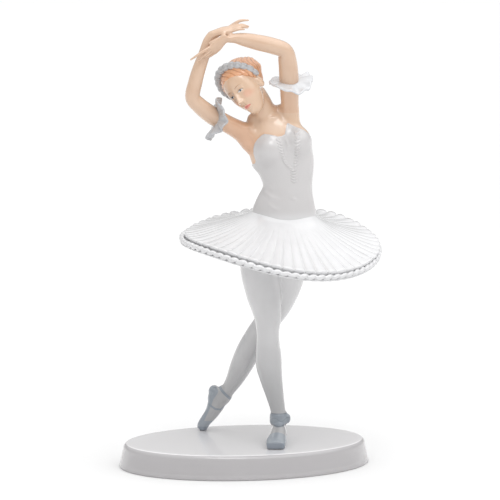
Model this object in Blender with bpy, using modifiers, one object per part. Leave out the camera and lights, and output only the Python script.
"""A glazed porcelain ballerina in a pancake tutu, arms crossed above the head, on an oval plinth.

Run with: blender --background --python part.py
Metres, +Z up. The origin is the centre of the plinth's underside, and X is the plinth's long axis.
"""

import math

import bmesh
import bpy
import numpy as np
from mathutils import Matrix, Vector

# The plinth's sizes, in metres
PLINTH_LENGTH = 0.132
PLINTH_WIDTH = 0.088
PLINTH_HEIGHT = 0.0125
PLINTH_FLARE = 0.002  # how far the side stands out at the foot, past the top edge
PLINTH_EDGE = 0.0024  # radius of the rounded top edge
PLINTH_FOOT = 0.0008  # bevel round the underside
SEAT_GAP = 0.0003  # the glaze line between the soles and the plinth

# The dancer's sizes, in metres
FIGURE_HEIGHT = 0.2215  # from the soles to the raised fingertips
FIGURE_TURN = math.radians(-11.0)  # how far the dancer is turned from the plinth's long side
TUTU_RADIUS = 0.0504  # out to the edge of the pleated layer
TUTU_RUFFLE = 0.0022  # how far the lower ruffle shows past that edge
TUTU_EDGE = 0.0019  # thickness of the pleated layer at its edge
RUFFLE_EDGE = 0.0021  # thickness of the lower ruffle at its edge
TUTU_RISE = 0.0119  # how far the skirt climbs from its edge to the hips
PLEATS = 52

# The pose is drawn in units: one unit is a millimetre on a figure of this many units
DRAWN_HEIGHT = 221.5
UNIT = FIGURE_HEIGHT / DRAWN_HEIGHT

# Fineness of the solid
VOXEL = 0.62 * UNIT
BODY_TRIANGLES = 3850
SIDES = 20
STEPS = 4

# The body's stations: x, y, z, half width, half depth, in units from the soles.
# The dancer faces -Y, so that the dancer's right is at -X.
TORSO = [
    (14.6, 1.8, 88, 15.0, 8.5),
    (15.8, 1.8, 96, 17.2, 10.8),
    (18.6, 1.6, 107, 17.2, 11.0),
    (20.2, 1.2, 116, 17.2, 10.6),
    (21.3, 1.0, 123.5, 15.8, 9.9),
    (22.5, 1.0, 133.3, 12.6, 8.6),
    (22.0, 0.9, 140, 14.0, 9.0),
    (20.9, 0.8, 147, 15.1, 9.6),
    (18.9, 0.9, 154, 14.9, 9.6),
    (16.2, 1.3, 161, 13.8, 8.2),
    (13.6, 2.0, 166.5, 10.6, 6.4),
    (12.0, 2.8, 170, 6.4, 5.0),
]
NECK = [
    (13.4, 2.6, 165, 7.2, 6.2),
    (11.6, 2.6, 169.5, 6.3, 5.7),
    (9.6, 2.2, 173.5, 6.0, 5.7),
    (7.6, 1.4, 177.5, 5.9, 5.8),
    (5.2, 0.2, 181.5, 5.8, 6.0),
]
RIGHT_ARM = [
    (12.0, 1.0, 153.5, 7.5, 6.0),
    (5.2, 0.8, 157.2, 7.8, 5.8),
    (-0.4, 0.0, 161.3, 6.1, 5.2),
    (-7.6, -4.0, 165.5, 4.9, 4.7),
    (-16.4, -8.0, 171.0, 4.7, 4.6),
    (-22.9, -11.0, 176.3, 4.2, 4.2),
    (-26.5, -12.5, 180.9, 3.9, 4.0),
    (-25.3, -13.0, 188.0, 3.7, 4.1),
    (-23.3, -13.2, 195.2, 3.45, 3.8),
    (-20.7, -13.4, 202.4, 3.1, 3.2),
    (-18.4, -13.6, 209.3, 2.9, 2.7),
    (-15.7, -13.8, 213.4, 2.9, 2.3),
]
LEFT_ARM = [
    (21.0, 1.6, 157.0, 7.6, 6.0),
    (22.9, 1.8, 165.5, 6.0, 5.6),
    (23.5, 1.4, 172.3, 5.0, 5.2),
    (23.3, -1.0, 178.8, 4.8, 4.9),
    (22.9, -5.0, 189.4, 5.1, 4.9),
    (22.1, -8.2, 198.9, 4.8, 4.6),
    (20.4, -10.2, 204.6, 4.2, 4.2),
    (14.1, -11.5, 207.2, 4.2, 4.3),
    (6.9, -12.7, 209.0, 4.0, 4.1),
    (0.3, -14.4, 210.5, 3.5, 3.5),
    (-4.8, -15.8, 211.3, 2.8, 2.6),
    (-8.4, -16.8, 211.2, 2.8, 2.2),
]
RIGHT_LEG = [
    (10.4, 0.5, 101.0, 8.6, 8.6),
    (8.3, -1.2, 92.4, 10.5, 10.0),
    (9.7, -3.0, 79.5, 9.4, 9.6),
    (11.2, -4.5, 71.5, 8.1, 8.6),
    (12.1, -5.5, 65.0, 6.9, 7.3),
    (12.1, -5.8, 57.8, 5.9, 6.4),
    (12.2, -4.6, 51.3, 6.1, 6.5),
    (12.5, -3.0, 45.3, 6.7, 7.0),
    (12.8, -2.3, 39.3, 6.7, 6.9),
    (14.1, -1.9, 31.8, 5.8, 6.0),
    (15.7, -1.6, 24.3, 4.8, 5.0),
    (17.2, -1.5, 17.3, 4.0, 4.4),
    (17.8, -1.4, 12.6, 3.8, 4.2),
    (17.8, -1.2, 6.0, 3.6, 4.2),
]
LEFT_LEG = [
    (21.0, 1.5, 101.0, 8.6, 8.6),
    (21.6, 3.0, 91.6, 10.3, 9.8),
    (20.4, 5.2, 82.4, 9.7, 9.4),
    (17.0, 8.4, 71.9, 8.6, 8.6),
    (13.6, 10.6, 64.5, 7.2, 7.3),
    (10.4, 12.4, 59.0, 6.2, 6.5),
    (6.5, 14.6, 52.8, 6.1, 6.4),
    (2.3, 17.6, 44.3, 6.5, 6.8),
    (-1.7, 20.2, 35.7, 5.9, 6.2),
    (-5.1, 22.6, 28.2, 4.7, 5.0),
    (-8.3, 24.6, 22.6, 3.8, 4.1),
    (-11.2, 25.8, 18.6, 3.7, 3.9),
]
RIGHT_FOOT = [
    (17.7, 4.6, 3.0, 2.2, 2.6),
    (17.7, 2.4, 3.6, 3.3, 4.2),
    (17.8, -3.0, 4.8, 3.9, 5.6),
    (17.8, -8.0, 4.2, 4.4, 5.4),
    (17.2, -13.5, 3.2, 4.9, 4.6),
    (16.4, -19.0, 2.5, 5.4, 3.9),
    (16.2, -23.0, 2.0, 5.1, 3.4),
    (16.2, -25.8, 1.4, 4.7, 2.6),
]
LEFT_FOOT = [
    (-9.6, 25.2, 21.4, 3.6, 3.8),
    (-13.0, 25.8, 18.4, 4.1, 4.2),
    (-15.1, 26.0, 13.9, 4.5, 4.6),
    (-17.6, 26.1, 9.0, 4.4, 3.7),
    (-20.7, 26.2, 4.9, 3.9, 3.1),
    (-22.3, 26.2, 2.2, 3.4, 3.0),
    (-22.8, 26.2, 0.2, 2.9, 2.6),
]
# Rounded masses that the tubes alone leave out: centre, radii
MASSES = [
    ((13.6, -1.4, 152.4), (9.0, 9.6, 9.4)),  # right breast
    ((27.4, -1.0, 156.0), (7.6, 9.4, 9.2)),  # left breast
    ((9.4, 2.0, 150.0), (6.8, 6.2, 10.5)),  # right side of the back, under the arm
    ((5.6, 2.8, 167.4), (4.6, 4.2, 4.4)),  # slope from the neck to the right shoulder
    ((17.6, 2.4, 170.8), (3.8, 3.8, 5.2)),  # slope from the neck to the left shoulder
    ((9.4, 4.4, 96.5), (9.4, 9.4, 9.6)),  # right buttock
    ((22.6, 4.8, 97.5), (9.4, 9.4, 9.6)),  # left buttock
    ((-16.2, 26.8, 20.4), (3.1, 3.3, 3.6)),  # left heel
    ((-16.7, 26.5, 16.6), (3.0, 3.2, 4.8)),  # underside of the left heel
    ((22.6, -2.6, 11.6), (1.5, 1.7, 2.6)),  # knot of the right shoe's ribbon
    ((12.2, 0.8, 44.5), (5.2, 5.6, 9.5)),  # right calf
    ((-26.9, -12.2, 179.8), (3.3, 3.6, 3.2)),  # right elbow
    ((21.6, -9.8, 205.8), (3.4, 3.6, 3.2)),  # left elbow
]

# The head, in units, in its own frame: x to the dancer's left, y to the back, z to the crown
HEAD_PLACE = (0.9, -2.6, 184.7)
HEAD_LEAN = math.radians(46.0)
HEAD_TURN = math.radians(35.0)
HEAD_BOW = math.radians(-12.0)  # below zero, the chin is lifted
SKULL = ((0, 1.4, 3.4), (9.2, 11.0, 10.0))
FACE = [
    (0, -2.6, 9.6, 6.6, 5.6),
    (0, -3.0, 6.0, 8.2, 6.9),
    (0, -2.8, 2.0, 8.8, 7.3),
    (0, -2.6, -2.0, 8.5, 7.3),
    (0, -2.8, -6.0, 7.3, 6.9),
    (0, -3.6, -9.4, 5.4, 5.8),
    (0, -5.0, -12.0, 3.3, 3.9),
    (0, -5.8, -13.5, 1.6, 2.0),
]
NOSE = [(0, -8.8, 0.6, 0.7, 1.0), (0, -9.7, -2.4, 1.0, 1.5), (0, -10.4, -5.0, 1.7, 1.7)]
EAR = ((8.9, 1.6, -2.0), (1.2, 2.1, 3.4))
HAIR_CAP = ((0, 2.6, 4.6), (11.2, 12.6, 11.6))
HAIRLINE = ((0, -9.5, 9.0), (0, 8, 9))  # the cap's cut: a point of it, and the way that the hair lies from it
HAIR_ROLL = ((-0.2, 6.4, 8.2), (9.8, 7.4, 6.8))
BAND_RADII = (12.2, 13.2)  # half width and height of the arc that the hair band follows
BAND_CENTRE = (-1.0, 0.4, 3.5)
BAND_TILT = math.radians(26.0)  # the top of the arc lies forward of the ears
BAND_REACH = math.radians(102.0)  # from the crown down to each ear
BAND_PETALS = 13

# The hands: wrist, then how the palm and fingers run
PALM_LENGTH = 9.4
FINGER_RADIUS = 0.85

RIGHT_WRIST = ((-15.2, -13.9, 212.4), (-0.1, 0.85, 0.4), (17.8, -1.8, 8.6))  # place, thumb's way, fingers' way
LEFT_WRIST = ((-8.8, -17.0, 210.6), (-0.4, -0.5, 0.8), (-15.6, -3.0, -11.8))
# Fingers, index to little: knuckle, middle joint and tip in the hand's frame
RIGHT_FINGERS = [
    ((2.3, 0.3, 8.2), (2.9, 0.0, 14.6), (3.0, 2.0, 19.0)),
    ((0.8, 0.2, 8.8), (1.2, 1.5, 14.4), (0.8, 4.2, 17.8)),
    ((-0.7, 0.3, 8.6), (-0.4, 1.5, 13.9), (-0.7, 3.8, 17.4)),
    ((-2.1, 0.5, 7.8), (-2.0, 1.3, 12.6), (-2.3, 2.9, 15.6)),
]
LEFT_FINGERS = [
    ((2.4, 0.4, 8.2), (3.1, 0.5, 15.0), (3.1, 1.3, 21.4)),
    ((1.0, 0.3, 8.8), (0.6, 0.7, 14.4), (-0.4, 1.8, 18.6)),
    ((-0.5, 0.4, 8.6), (-0.9, 1.2, 13.2), (-1.4, 2.6, 16.6)),
    ((-1.9, 0.6, 7.8), (-2.4, 1.5, 11.6), (-2.8, 2.8, 14.2)),
]

# The skirt and the trimmings, in units
SKIRT_PLACE = (19.8, 0.0, 106.8)
SKIRT_DIP = math.radians(9.6)
SKIRT_ROLL = math.radians(4.8)
SKIRT_RINGS = (0.0, 0.08, 0.25, 0.5, 0.75, 1.0)
SKIRT_CURVE = 1.4
SKIRT_FLARE = 3.0  # how far the skirt turns up against the waist
FLARE_REACH = 0.05
RUFFLE_SHIFT = -0.8  # how far the ruffle hangs to the dancer's right
HUB_RADII = (14.6, 9.0)
HUB_BACK = 2.8
PLEAT_DEPTH = 0.45
RUFFLE_DEPTH = 0.45
GROOVE = 0.4
FRILL_INNER = 3.0
FRILL_OUTER = 10.6
FRILL_STEPS = 36
RIGHT_CUFF = ((-13.8, -6.8, 169.6), (26.0, 10.0, -4.5), (0, 1, 0))  # place, along the arm, across it
LEFT_CUFF = ((23.4, -4.0, 187.6), (-1.6, -5.6, 20.0), (1, 0, 0))
# The rim of each cuff: degrees round the arm, how far it swings along the arm
RIGHT_SWING = [
    (0, 1.0), (53, 2.5), (90, -1.0), (130, -3.6), (157, 0.4), (184, 3.8),
    (207, 0.2), (233, -4.2), (270, 0.0), (318, 3.4),
]
LEFT_SWING = [
    (0, 1.4), (30, 1.9), (60, 0.0), (95, -1.4), (135, 0.8), (178, 0.6),
    (210, 1.8), (240, 1.2), (270, -0.8), (300, -2.3), (330, -1.2),
]
BAND_WIDTH = 2.3
BAND_RAISE = 1.4
BAND_SEAT = 1.8  # how far the band's underside sinks into the hair
RIBBONS = [
    [
        (17.8, -1.6, 8.2, 4.0, 4.6),
        (17.8, -1.6, 9.8, 4.7, 5.2),
        (17.8, -1.4, 13.6, 4.6, 5.0),
        (17.7, -1.4, 15.0, 3.9, 4.3),
    ],
    [
        (-13.4, 26.2, 15.2, 3.9, 4.0),
        (-12.0, 25.9, 17.6, 4.6, 4.6),
        (-10.4, 25.3, 20.2, 4.5, 4.6),
        (-9.4, 25.0, 21.6, 3.8, 3.9),
    ],
]

# Fineness of the plinth and the softened skin
PLINTH_SIDES = 64
EDGE_STEPS = 3
SOFT_ROUNDS = ((82, 167, 10), (86, 162, 16), (90, 157, 24))  # from this height to this one, rounds
ALL_ROUNDS = 3
SOLE = 0.5  # skin this close to the plinth is pressed flat on it

PARTS = bpy.data.collections.new("ballerina_figurine")
HELPERS = bpy.data.collections.new("helpers")


def clear_scene():
    for obj in list(bpy.data.objects):
        bpy.data.objects.remove(obj)
    for collection in (PARTS, HELPERS):
        bpy.context.scene.collection.children.link(collection)


def glaze(name, colour, roughness):
    """A glazed porcelain finish."""
    material = bpy.data.materials.new(name)
    material.use_nodes = True
    shader = material.node_tree.nodes["Principled BSDF"]
    shader.inputs["Base Color"].default_value = (*colour, 1.0)
    shader.inputs["Roughness"].default_value = roughness
    shader.inputs["Metallic"].default_value = 0.0
    shader.inputs["Coat Weight"].default_value = 0.5
    return material


def smooth_rows(rows, steps):
    """Points of a Catmull-Rom curve through the stations, with steps points to each span."""
    given = np.array(rows, float)
    ends = np.vstack([2 * given[0] - given[1], given, 2 * given[-1] - given[-2]])
    out = []
    for i in range(len(given) - 1):
        a, b, c, d = ends[i : i + 4]
        for t in np.arange(steps) / steps:
            out.append(
                0.5 * (2 * b + (c - a) * t + (2 * a - 5 * b + 4 * c - d) * t**2 + (3 * b - a - 3 * c + d) * t**3)
            )
    return np.array(out + [given[-1]])


def add_rings(bm, rings, close_ends=True):
    """Joins rings of equally many points into a tube, in order, and caps it or joins it to itself."""
    made = [[bm.verts.new(point) for point in ring] for ring in rings]
    pairs = list(zip(made, made[1:]))
    if not close_ends:
        pairs.append((made[-1], made[0]))
    faces = []
    for low, high in pairs:
        for i in range(len(low)):
            j = (i + 1) % len(low)
            faces.append(bm.faces.new((low[i], low[j], high[j], high[i])))
    if close_ends:
        faces.append(bm.faces.new(made[0][::-1]))
        faces.append(bm.faces.new(made[-1]))
    bmesh.ops.recalc_face_normals(bm, faces=faces)


def add_loft(bm, rows, side=(1, 0, 0), place=None, sides=SIDES, steps=STEPS):
    """A tube of elliptical sections through stations of x, y, z, half width and half depth."""
    path = smooth_rows(rows, steps)
    centres, halves = path[:, :3], np.maximum(path[:, 3:5], 0.05)
    along = np.gradient(centres, axis=0)
    across = np.array(side, float)
    rings = []
    for centre, (wide, deep), tangent in zip(centres, halves, along):
        tangent = tangent / np.linalg.norm(tangent)
        width_way = across - tangent * (across @ tangent)
        width_way /= np.linalg.norm(width_way)
        depth_way = np.cross(tangent, width_way)
        angles = 2 * math.pi * np.arange(sides) / sides
        ring = [centre + wide * math.cos(a) * width_way + deep * math.sin(a) * depth_way for a in angles]
        rings.append([placed(point, place) for point in ring])
    add_rings(bm, rings)


def placed(point, place=None):
    """A point drawn in units, in metres, moved by the given frame if there is one."""
    here = Vector(point)
    return (place @ here if place else here) * UNIT


def add_ball(bm, centre, radii, place=None):
    """An ellipsoid drawn in units."""
    frame = place if place else Matrix.Identity(4)
    shape = Matrix.Scale(UNIT, 4) @ frame @ Matrix.Translation(centre) @ Matrix.Diagonal((*radii, 1.0))
    bmesh.ops.create_uvsphere(bm, u_segments=24, v_segments=16, radius=1.0, matrix=shape)


def add_mesh(bm, other):
    """Adds all of the other mesh."""
    mesh = bpy.data.meshes.new("part_form")
    other.to_mesh(mesh)
    other.free()
    bm.from_mesh(mesh)
    bpy.data.meshes.remove(mesh)


def frame_of(origin, x_way, z_way):
    """A frame at origin with z along z_way and x as near x_way as it can be."""
    up = Vector(z_way).normalized()
    right = Vector(x_way)
    right = (right - up * right.dot(up)).normalized()
    turn = Matrix((right, up.cross(right), up)).transposed().to_4x4()
    return Matrix.Translation(origin) @ turn


def head_frame():
    """The head's frame: bowed, then turned to the dancer's right, then leaned to the right."""
    bow = Matrix.Rotation(HEAD_BOW, 4, "X")
    turn = Matrix.Rotation(-HEAD_TURN, 4, "Z")
    lean = Matrix.Rotation(-HEAD_LEAN, 4, "Y")
    return Matrix.Translation(HEAD_PLACE) @ lean @ turn @ bow


def add_head(bm):
    place = head_frame()
    add_ball(bm, *SKULL, place)
    cap = bmesh.new()
    add_ball(cap, *HAIR_CAP)
    geometry = cap.verts[:] + cap.edges[:] + cap.faces[:]
    point, way = HAIRLINE
    cut = bmesh.ops.bisect_plane(cap, geom=geometry, plane_co=placed(point), plane_no=way, clear_inner=True)
    bmesh.ops.contextual_create(cap, geom=[e for e in cut["geom_cut"] if isinstance(e, bmesh.types.BMEdge)])
    cap.transform(Matrix.Scale(UNIT, 4) @ place @ Matrix.Scale(1 / UNIT, 4))
    add_mesh(bm, cap)
    add_ball(bm, *HAIR_ROLL, place)
    add_loft(bm, FACE, place=place)
    add_loft(bm, NOSE, place=place)
    (x, y, z), radii = EAR
    for side in (-1, 1):
        add_ball(bm, (side * x, y, z), radii, place)


def add_hand(bm, place, fingers, sway=0.0, arch=0.0):
    """A slender hand along +Z of its frame, palm to +Y, thumb at +X: a left hand unless the frame is mirrored."""
    palm = [
        (sway, -arch, -1.0, 2.7, 1.9 + 0.4 * arch),
        (0.8 * sway, 0.1 - arch, 2.0, 2.8, 1.6 + 0.5 * arch),
        (0.4 * sway, 0.3 - 0.7 * arch, 5.5, 3.2, 1.4 + 0.3 * arch),
        (0, 0.6, PALM_LENGTH, 3.1, 1.1),
    ]
    add_loft(bm, palm, place=place, sides=12)
    r = FINGER_RADIUS
    for knuckle, middle, tip in fingers:
        rows = [(*knuckle, r, r), (*middle, 0.94 * r, 0.94 * r), (*tip, 0.6 * r, 0.6 * r)]
        add_loft(bm, rows, place=place, sides=8)
    thumb = [(2.0, 0.6, 1.5, 1.2, 1.1), (3.3, 1.4, 4.5, 1.0, 1.0), (3.6, 1.9, 8.5, 0.7, 0.7)]
    add_loft(bm, thumb, place=place, sides=8, steps=3)


def object_of(name, bm, collection, material=None):
    mesh = bpy.data.meshes.new(name)
    bm.to_mesh(mesh)
    bm.free()
    obj = bpy.data.objects.new(name, mesh)
    collection.objects.link(obj)
    if material:
        mesh.materials.append(material)
    return obj


def body():
    """The dancer's body as one skin: tubes and masses grown together, smoothed and thinned out."""
    bm = bmesh.new()
    for rows in (TORSO, NECK, RIGHT_ARM, LEFT_ARM, RIGHT_LEG, LEFT_LEG, RIGHT_FOOT, *RIBBONS):
        add_loft(bm, rows)
    add_loft(bm, LEFT_FOOT, side=(0, 1, 0))
    for centre, radii in MASSES:
        add_ball(bm, centre, radii)
    add_head(bm)
    add_hand(bm, frame_of(*RIGHT_WRIST) @ Matrix.Diagonal((1, -1, 1, 1)), RIGHT_FINGERS, arch=1.0)
    add_hand(bm, frame_of(*LEFT_WRIST), LEFT_FINGERS, sway=0.8)
    obj = object_of("body_form", bm, HELPERS)
    skin = obj.modifiers.new("Skin", "REMESH")
    skin.mode = "VOXEL"
    skin.voxel_size = VOXEL
    grown = evaluated_mesh(obj)
    bpy.data.objects.remove(obj)
    soften(grown)
    obj = bpy.data.objects.new("body_form", grown)
    HELPERS.objects.link(obj)
    thin = obj.modifiers.new("Thin", "DECIMATE")
    thin.ratio = BODY_TRIANGLES / (2 * len(grown.polygons))
    mesh = evaluated_mesh(obj)
    bpy.data.objects.remove(obj)
    for vertex in mesh.vertices:
        if vertex.co.z < SOLE * UNIT:
            vertex.co.z = 0.0
    return mesh


def evaluated_mesh(obj):
    bpy.context.view_layer.update()
    return bpy.data.meshes.new_from_object(obj.evaluated_get(bpy.context.evaluated_depsgraph_get()))


def soften(mesh):
    """Rounds the skin a little all over, and much more where the torso's masses meet."""
    bm = bmesh.new()
    bm.from_mesh(mesh)
    for low, high, rounds in (*SOFT_ROUNDS, (-1, DRAWN_HEIGHT + 1, ALL_ROUNDS)):
        verts = [v for v in bm.verts if low < v.co.z / UNIT < high]
        for _ in range(rounds):
            bmesh.ops.smooth_vert(bm, verts=verts, factor=0.5, use_axis_x=True, use_axis_y=True, use_axis_z=True)
    bm.to_mesh(mesh)
    bm.free()


def skirt_frame():
    """The skirt's frame: its origin is the middle of the edge's plane, tilted down to the front and the left."""
    dip = Matrix.Rotation(SKIRT_DIP, 4, "X")
    roll = Matrix.Rotation(SKIRT_ROLL, 4, "Y")
    return Matrix.Translation(SKIRT_PLACE) @ roll @ dip


def sway(angle):
    """How far the skirt's rim rises and falls round the dancer."""
    return (
        2.03 * math.sin(2 * angle) - 0.90 * math.cos(2 * angle)
        + 0.87 * math.cos(3 * angle) - 0.71 * math.sin(3 * angle)
        + 1.6 * math.exp(-(((angle - 0.95) / 0.5) ** 2)) - 0.9 * math.exp(-(((angle - 2.0) / 0.45) ** 2))
    )


def skirt():
    """The pancake skirt: a pleated plate over a ruffled layer, with a groove between their edges."""
    radius, ruffle = TUTU_RADIUS / UNIT, TUTU_RUFFLE / UNIT
    edge, low_edge, rise = TUTU_EDGE / UNIT, RUFFLE_EDGE / UNIT, TUTU_RISE / UNIT
    groove = -edge - GROOVE
    bottom = groove - low_edge
    flare = [SKIRT_FLARE * math.exp(-t / FLARE_REACH) for t in SKIRT_RINGS]
    heights = [rise * (1 - t) ** SKIRT_CURVE + up for t, up in zip(SKIRT_RINGS, flare)]
    # Each row: share of the way out, extra reach, height, pleat depth, ruffle depth
    rows = [(t, 0.0, height, PLEAT_DEPTH * t, 0.0) for t, height in zip(SKIRT_RINGS, heights)]
    rows += [
        (1.0, 0.3, -0.45 * edge, PLEAT_DEPTH, 0.0),
        (1.0, -0.2, -edge, 0.5 * PLEAT_DEPTH, 0.0),
        (1.0, -1.5, groove, 0.0, 0.0),
        (1.0, ruffle - 0.7, groove, 0.0, RUFFLE_DEPTH),
        (1.0, ruffle, groove - 0.5 * low_edge, 0.0, RUFFLE_DEPTH),
        (1.0, ruffle - 0.8, bottom, 0.0, RUFFLE_DEPTH),
    ]
    under = [(t, bottom + (rise + 0.6 * edge) * (1 - t) ** SKIRT_CURVE) for t in SKIRT_RINGS[-2::-2]]
    rows += [(t, 0.0, height, 0.0, 0.0) for t, height in under]
    place = skirt_frame()
    count = 2 * PLEATS
    rings = []
    for share, reach, height, pleat, ruffled in rows:
        ring = []
        for i in range(count):
            angle = 2 * math.pi * i / count
            wave = math.cos(PLEATS * angle)
            hub = Vector((HUB_RADII[0] * math.cos(angle), HUB_RADII[1] * math.sin(angle) + HUB_BACK))
            out = (radius + reach + 0.8 * (pleat - ruffled) * wave) * Vector((math.cos(angle), math.sin(angle)))
            flat = hub.lerp(out, share)
            shift = RUFFLE_SHIFT if ruffled else 0.0
            lift = height + (pleat - ruffled) * wave + share**2 * sway(angle)
            ring.append(placed((flat.x + shift, flat.y, lift), place))
        rings.append(ring)
    bm = bmesh.new()
    add_rings(bm, rings)
    return object_of("skirt_form", bm, HELPERS)


def swing_at(swing, angle):
    """The rim's swing at an angle: a soft closed curve through the table."""
    turns, values = np.array([(t - 360, v) for t, v in swing] + swing + [(t + 360, v) for t, v in swing]).T
    at = math.degrees(angle) % 360
    k = int(np.searchsorted(turns, at, side="right")) - 1
    t = (at - turns[k]) / (turns[k + 1] - turns[k])
    return float(values[k] + (values[k + 1] - values[k]) * t * t * (3 - 2 * t))


def frill(name, centre, along, x_way, swing):
    """A gathered cuff round an arm: a thick ring whose outer edge swings to and fro along the arm."""
    place = frame_of(centre, x_way, along)
    # Each corner of the section: radius, height along the arm, share of the swing
    section = [
        (FRILL_INNER, -1.6, 0.1),
        (0.6 * FRILL_OUTER, -1.2, 0.5),
        (FRILL_OUTER, -0.7, 1.0),
        (FRILL_OUTER + 0.4, 0.3, 1.0),
        (0.75 * FRILL_OUTER, 1.0, 0.7),
        (FRILL_INNER, 1.6, 0.1),
    ]
    rings = []
    for i in range(FRILL_STEPS):
        angle = 2 * math.pi * i / FRILL_STEPS
        wave = swing_at(swing, angle)
        ring = []
        for radius, height, share in section:
            out = (radius * math.cos(angle), radius * math.sin(angle))
            ring.append(placed((*out, height + share * wave), place))
        rings.append(ring)
    bm = bmesh.new()
    add_rings(bm, rings, close_ends=False)
    return object_of(name, bm, HELPERS)


def hair_band():
    """The feathered band over the hair from ear to ear: a strip that swells into petals."""
    place = head_frame() @ Matrix.Translation(BAND_CENTRE) @ Matrix.Rotation(BAND_TILT, 4, "X")
    count = 3 * BAND_PETALS
    rings = []
    for i in range(count + 1):
        share = 2 * i / count - 1
        angle = BAND_REACH * share
        petal = abs(math.sin(BAND_PETALS * math.pi * i / count))
        thin = 0.3 + 0.7 * math.sqrt(1 - share**2)
        wide, high = BAND_WIDTH * thin * (0.8 + 0.2 * petal), BAND_RAISE * thin * (0.5 + 0.6 * petal)
        ring = []
        for across, up in ((-1, -1), (-0.8, 0.7), (0, 1), (0.8, 0.7), (1, -1)):
            lift = high * up - (BAND_SEAT if up < 0 else 0.0)
            x = (BAND_RADII[0] + lift) * math.sin(angle)
            z = (BAND_RADII[1] + lift) * math.cos(angle)
            ring.append(placed((x, wide * across, z), place))
        rings.append(ring)
    bm = bmesh.new()
    add_rings(bm, rings)
    return object_of("hair_band_form", bm, HELPERS)


def plinth(material):
    """The oval plinth: a slightly flared side and a rounded top edge."""
    half_length, half_width = PLINTH_LENGTH / 2, PLINTH_WIDTH / 2
    # Each ring: how far it stands in from the foot, and its height
    rings_at = [(PLINTH_FOOT, 0.0), (0.0, PLINTH_FOOT)]
    for i in range(EDGE_STEPS + 1):
        turn = 0.5 * math.pi * i / EDGE_STEPS
        inset = PLINTH_FLARE + PLINTH_EDGE * (1 - math.cos(turn))
        rings_at.append((inset, PLINTH_HEIGHT - PLINTH_EDGE * (1 - math.sin(turn))))
    rings = []
    for inset, height in rings_at:
        angles = [2 * math.pi * i / PLINTH_SIDES for i in range(PLINTH_SIDES)]
        a, b = half_length - inset, half_width - inset
        rings.append([Vector((a * math.cos(t), b * math.sin(t), height)) for t in angles])
    bm = bmesh.new()
    add_rings(bm, rings)
    return object_of("plinth", bm, PARTS, material)


def join(obj, others):
    """Unites the other solids with obj, and keeps them as hidden helpers."""
    for other in others:
        other.hide_render = True
        other.display_type = "WIRE"
        other.parent = obj
        union = obj.modifiers.new("Join_" + other.name, "BOOLEAN")
        union.operation = "UNION"
        union.solver = "EXACT"
        union.object = other


def main():
    clear_scene()
    white = glaze("white_glaze", (0.80, 0.80, 0.82), 0.12)
    plinth_white = glaze("plinth_glaze", (0.74, 0.72, 0.74), 0.10)
    plinth(plinth_white)
    stand = bpy.data.objects.new("dancer_stand", None)
    PARTS.objects.link(stand)
    stand.location.z = PLINTH_HEIGHT + SEAT_GAP
    stand.rotation_euler.z = FIGURE_TURN
    figure = bpy.data.objects.new("figure", body())
    PARTS.objects.link(figure)
    figure.parent = stand
    figure.data.materials.append(white)
    cuffs = [
        frill("right_cuff_form", *RIGHT_CUFF, RIGHT_SWING),
        frill("left_cuff_form", *LEFT_CUFF, LEFT_SWING),
    ]
    join(figure, [skirt(), hair_band(), *cuffs])


main()
